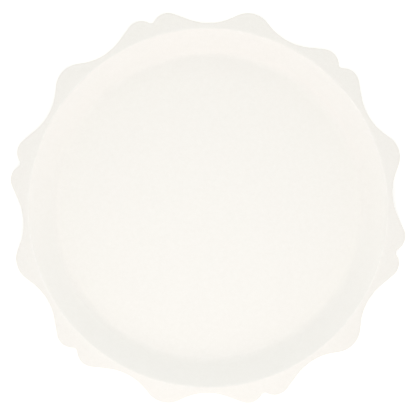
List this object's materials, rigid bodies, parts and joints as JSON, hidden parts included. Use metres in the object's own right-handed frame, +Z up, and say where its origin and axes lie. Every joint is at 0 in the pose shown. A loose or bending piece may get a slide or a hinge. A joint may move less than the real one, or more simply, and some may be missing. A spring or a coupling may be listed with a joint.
{
  "type": "scalloped paper plate",
  "caption": "Round pressed paperboard plate with a flat-floored well, a sloping wall and a narrow drooping rim die-cut into scallops.",
  "frame": {"origin": "centre of the flat underside of the floor, on the surface that the plate stands on", "axes": "+Z up along the axis of the plate, +X through the top of a single lobe of the rim, +Y through the notch of a pair of twin lobes"},
  "size_m": [0.27, 0.2692, 0.0156],
  "materials": {
    "coated_board": "satin"
  },
  "bodies": {
    "root": {"plate": "coated_board"}
  },
  "joints": []
}
